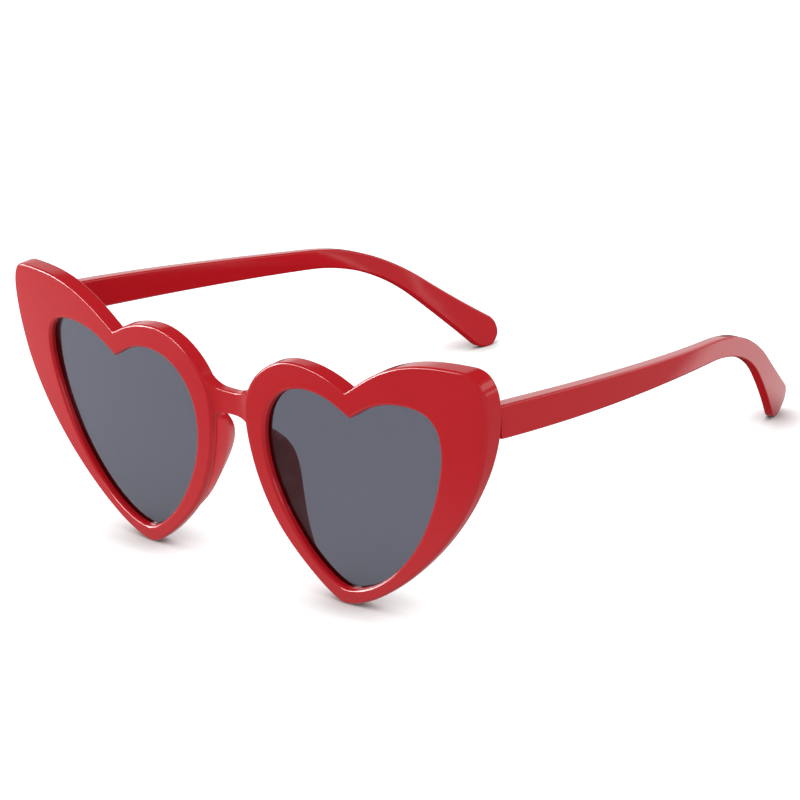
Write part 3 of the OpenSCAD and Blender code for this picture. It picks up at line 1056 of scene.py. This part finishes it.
class SUNGLASSES_OT_temples(bpy.types.Operator):
    """Sweeps the two temples back from the hinges"""

    bl_idname = "sunglasses.temples"
    bl_label = "Temples"

    def execute(self, context):
        left = grown("temple_l", temple_tree(), temple_values(), plastic())
        right = mirrored(left, "temple_r")
        dress(left, "left_arm", "frame_plastic", "temple_left")
        dress(right, "right_arm", "frame_plastic", "temple_right")
        return {"FINISHED"}


def softened(node, name, material):
    """A copy of a metal node with its edges rounded."""
    obj = linked(name, frame["nodes"][node].data.copy())
    obj.data.materials.clear()
    obj.data.materials.append(material)
    bm = bmesh.new()
    bm.from_mesh(obj.data)
    bmesh.ops.remove_doubles(bm, verts=bm.verts, dist=METAL_MERGE)
    bmesh.ops.dissolve_limit(bm, angle_limit=FLAT_ANGLE, verts=bm.verts, edges=bm.edges)
    bm.to_mesh(obj.data)
    bm.free()
    bevel = obj.modifiers.new("Round Off", "BEVEL")
    bevel.width = settings().hinge.rounding
    bevel.segments = BEVEL_SEGMENTS
    bevel.limit_method = "ANGLE"
    bevel.angle_limit = EDGE_ANGLE
    settle(obj)
    tidy(obj)
    return obj


class SUNGLASSES_OT_hinges(bpy.types.Operator):
    """Makes the steel hinges and their screws"""

    bl_idname = "sunglasses.hinges"
    bl_label = "Hinges"

    def execute(self, context):
        metal = steel()
        for side, body in ARM_BODY.items():
            for node, where in (
                (f"hinge_front_{side}", "front"), (f"hinge_temple_{side}", body),
                (f"hinge_screw_{side}", "front"),
            ):
                piece = softened(node, node.removesuffix(side) + side[0], metal)
                dress(piece, where, "hinge_steel", node)
        return {"FINISHED"}


def mirrored_ray(n, ray):
    """1 for a ray that a surface has mirrored, and 0 for one that only passes a lens."""
    direct = n.difference(1, ray["Is Diffuse Ray"])
    return n.product(n.math("GREATER_THAN", ray["Glossy Depth"], 0), direct)


def light_floor():
    """A white floor that glows a little, with a contact shadow painted into its colour and glow
    where something stands close above it. In reflections it is dark, with lighter parts in front,
    at both sides and far behind."""
    size = settings().light
    material, n, shader = new_material("floor", roughness=1.0, specular_ior_level=0.0)
    ray = n.add("ShaderNodeLightPath").outputs
    seen = n.math("MAXIMUM", ray["Is Camera Ray"], ray["Is Transmission Ray"])
    shader.inputs["Emission Color"].default_value = WHITE
    # Painted contact shadow: ambient occlusion darkens the floor's colour and fades its glow near
    # a contact.
    free = n.add("ShaderNodeAmbientOcclusion", {"Distance": CONTACT}, samples=4).outputs["AO"]
    shade = n.add("ShaderNodeMix", {"Factor": free}, data_type="RGBA")
    n.feed(shade.inputs["A"], (*settings().finish.contact, 1))
    n.feed(shade.inputs["B"], (*settings().finish.floor, 1))
    n.feed(shader.inputs["Base Color"], shade.outputs["Result"])
    own_light = n.product(seen, size.floor_glow, n.math("POWER", free, CONTACT_POWER))
    n.feed(shader.inputs["Emission Strength"], own_light)

    place = n.add("ShaderNodeTexCoord").outputs["Object"]
    split = n.add("ShaderNodeSeparateXYZ", {"Vector": place}).outputs
    front = n.band(split["Y"], MIRROR_FRONT)
    near = n.fade(split["Y"], MIRROR_NEAR, 0, size.near_mirror)
    left = n.fade(split["X"], MIRROR_LEFT, size.left_mirror, 0)
    right = n.fade(split["X"], MIRROR_RIGHT)
    back = n.fade(split["Y"], MIRROR_BACK)
    glow = n.sum(
        n.product(front, n.difference(1, right), n.sum(near, left, size.front_mirror)),
        n.product(right, size.right_mirror),
        n.product(back, n.band(split["X"], MIRROR_TIP, size.back_mirror)),
        n.fade(split["Y"], MIRROR_FAR, 0, size.far_mirror),
        size.floor_mirror,
    )
    mirror = n.add("ShaderNodeEmission", {"Strength": glow})
    mixed = n.add("ShaderNodeMixShader", {
        0: mirrored_ray(n, ray), 1: shader.outputs[0], 2: mirror.outputs[0],
    })
    output = material.node_tree.nodes["Material Output"]
    n.feed(output.inputs["Surface"], mixed.outputs[0])
    corners = [(-1, -1), (1, -1), (1, 1), (-1, 1)]
    points = [(x * FLOOR_HALF, y * FLOOR_HALF, 0) for x, y in corners]
    mesh_object("floor", points, [(0, 1, 2, 3)], material)


def studio_world(scene):
    """White light all round, stronger from above, the front and the right. In reflections
    it is a studio with a bright left wall, a window band at the right and a dark ceiling."""
    size = settings().light
    world = bpy.data.worlds.new("studio")
    scene.world = world
    world.use_nodes = True
    n = Nodes(world.node_tree)
    background = world.node_tree.nodes["Background"]
    place = n.add("ShaderNodeTexCoord").outputs["Generated"]
    split = n.add("ShaderNodeSeparateXYZ", {"Vector": place}).outputs
    left = n.sum(size.wall_mirror, n.fade(split["Z"], WALL_FOOT, size.foot_mirror, 0))
    window = n.product(
        n.band(split["Z"], WALL_WINDOW, size.window_mirror), n.fade(split["Y"], WALL_BACK)
    )
    right = n.sum(size.side_mirror, window)
    walls = n.product(
        n.fade(split["Z"], WALL_TOP, 1, 0), n.fade(split["X"], WALL_TURN, left, right)
    )
    mirror = n.sum(walls, size.ceiling_mirror)
    light = n.sum(
        n.product(n.math("MAXIMUM", split["Z"], 0), size.overhead),
        n.product(n.math("MAXIMUM", n.product(split["Y"], -1), 0), size.front),
        n.product(n.math("MAXIMUM", split["X"], 0), size.right),
        size.world,
    )
    mirrored = mirrored_ray(n, n.add("ShaderNodeLightPath").outputs)
    n.feed(background.inputs["Color"], WHITE)
    n.feed(background.inputs["Strength"], n.span(mirrored, 0, 1, light, mirror))


def softbox(name, place, size, power, mirrored_only=False):
    """A flat lamp that faces the middle of the glasses and throws no shadow, or a strip
    that only shows in reflections."""
    light = bpy.data.lights.new(name, "AREA")
    light.shape = "RECTANGLE"
    light.size, light.size_y = size
    light.energy = power
    light.use_shadow = mirrored_only
    lamp = linked(name, light)
    lamp.location = place
    lamp.rotation_euler = (Vector(AIM) - Vector(place)).to_track_quat("-Z", "Y").to_euler()
    lamp.visible_diffuse = not mirrored_only


def photo_camera(scene):
    """The camera at the photograph's viewing angle."""
    camera = bpy.data.cameras.new("camera")
    camera.lens = CAMERA_LENS
    camera.sensor_width = CAMERA_SENSOR
    camera.clip_start, camera.clip_end = CAMERA_CLIP
    scene.camera = linked("camera", camera)
    scene.camera.matrix_world = (
        Matrix.Translation(CAMERA_PLACE)
        @ Matrix.Rotation(math.radians(CAMERA_AZIMUTH), 4, "Z")
        @ Matrix.Rotation(math.pi / 2 - math.radians(CAMERA_ELEVATION), 4, "X")
        @ Matrix.Rotation(math.radians(CAMERA_ROLL), 4, "Z")
    )


class SUNGLASSES_OT_stage(bpy.types.Operator):
    """Sets the pale floor, the studio's light and the camera"""

    bl_idname = "sunglasses.stage"
    bl_label = "Stage"

    def execute(self, context):
        scene, size = context.scene, settings().light
        scene.view_settings.view_transform = "Standard"
        light_floor()
        studio_world(scene)
        softbox("softbox_key", KEY_PLACE, KEY_SIZE, size.key)
        softbox("softbox_strip", STRIP_PLACE, STRIP_SIZE, size.strip, mirrored_only=True)
        photo_camera(scene)
        return {"FINISHED"}


class SUNGLASSES_PT_panel(bpy.types.Panel):
    bl_label = "Heart Shaped Sunglasses"
    bl_idname = "SUNGLASSES_PT_panel"
    bl_space_type = "VIEW_3D"
    bl_region_type = "UI"
    bl_category = "Sunglasses"

    def draw(self, context):
        for operator in OPERATORS:
            self.layout.operator(operator.bl_idname)


OPERATORS = (
    SUNGLASSES_OT_front, SUNGLASSES_OT_lenses, SUNGLASSES_OT_nose_pads, SUNGLASSES_OT_temples,
    SUNGLASSES_OT_hinges, SUNGLASSES_OT_stage,
)
GROUPS = (
    FrontSizes, LensSizes, PadSizes, TempleSizes, HingeSizes, Finish, Light, Sunglasses,
)


def register():
    for c in (*GROUPS, *OPERATORS, SUNGLASSES_PT_panel):
        bpy.utils.register_class(c)
    bpy.types.Scene.sunglasses = bpy.props.PointerProperty(type=Sunglasses)


def unregister():
    del bpy.types.Scene.sunglasses
    for c in reversed((*GROUPS, *OPERATORS, SUNGLASSES_PT_panel)):
        bpy.utils.unregister_class(c)


def main():
    register()
    for operator in OPERATORS:
        area, name = operator.bl_idname.split(".")
        getattr(getattr(bpy.ops, area), name)()


if __name__ == "__main__":
    main()
